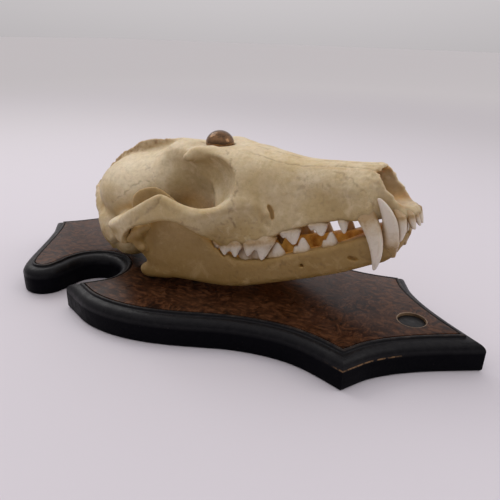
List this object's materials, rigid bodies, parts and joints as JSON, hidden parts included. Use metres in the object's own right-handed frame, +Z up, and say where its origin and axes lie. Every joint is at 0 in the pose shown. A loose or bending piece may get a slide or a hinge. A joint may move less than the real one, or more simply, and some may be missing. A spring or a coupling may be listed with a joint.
{
  "type": "mounted fox skull",
  "caption": "Fox skull with closed jaws and full dentition, pinned through the crown onto a shaped, veneered wall plaque with a black moulded edge.",
  "frame": {"origin": "middle of the plaque's flat underside", "axes": "+X toward the snout along the plaque's length, +Y to the animal's left, +Z up from the plaque's underside"},
  "size_m": [0.2205, 0.109, 0.0727],
  "materials": {
    "bone": "dry ivory bone, satin",
    "jaw_bone": "dry ivory bone, satin",
    "black_paint": "black painted wood, semi-gloss",
    "burl_veneer": "dark burl veneer, semi-gloss",
    "plug_black": "black, semi-gloss",
    "bronze": "dark bronzed, polished"
  },
  "bodies": {
    "root": {"cranium": "bone", "mandible_left": "jaw_bone", "mandible_right": "jaw_bone", "plaque_board": "black_paint", "plaque_veneer": "burl_veneer", "hanger_plug": "plug_black", "mount_dome": "bronze"}
  },
  "joints": []
}
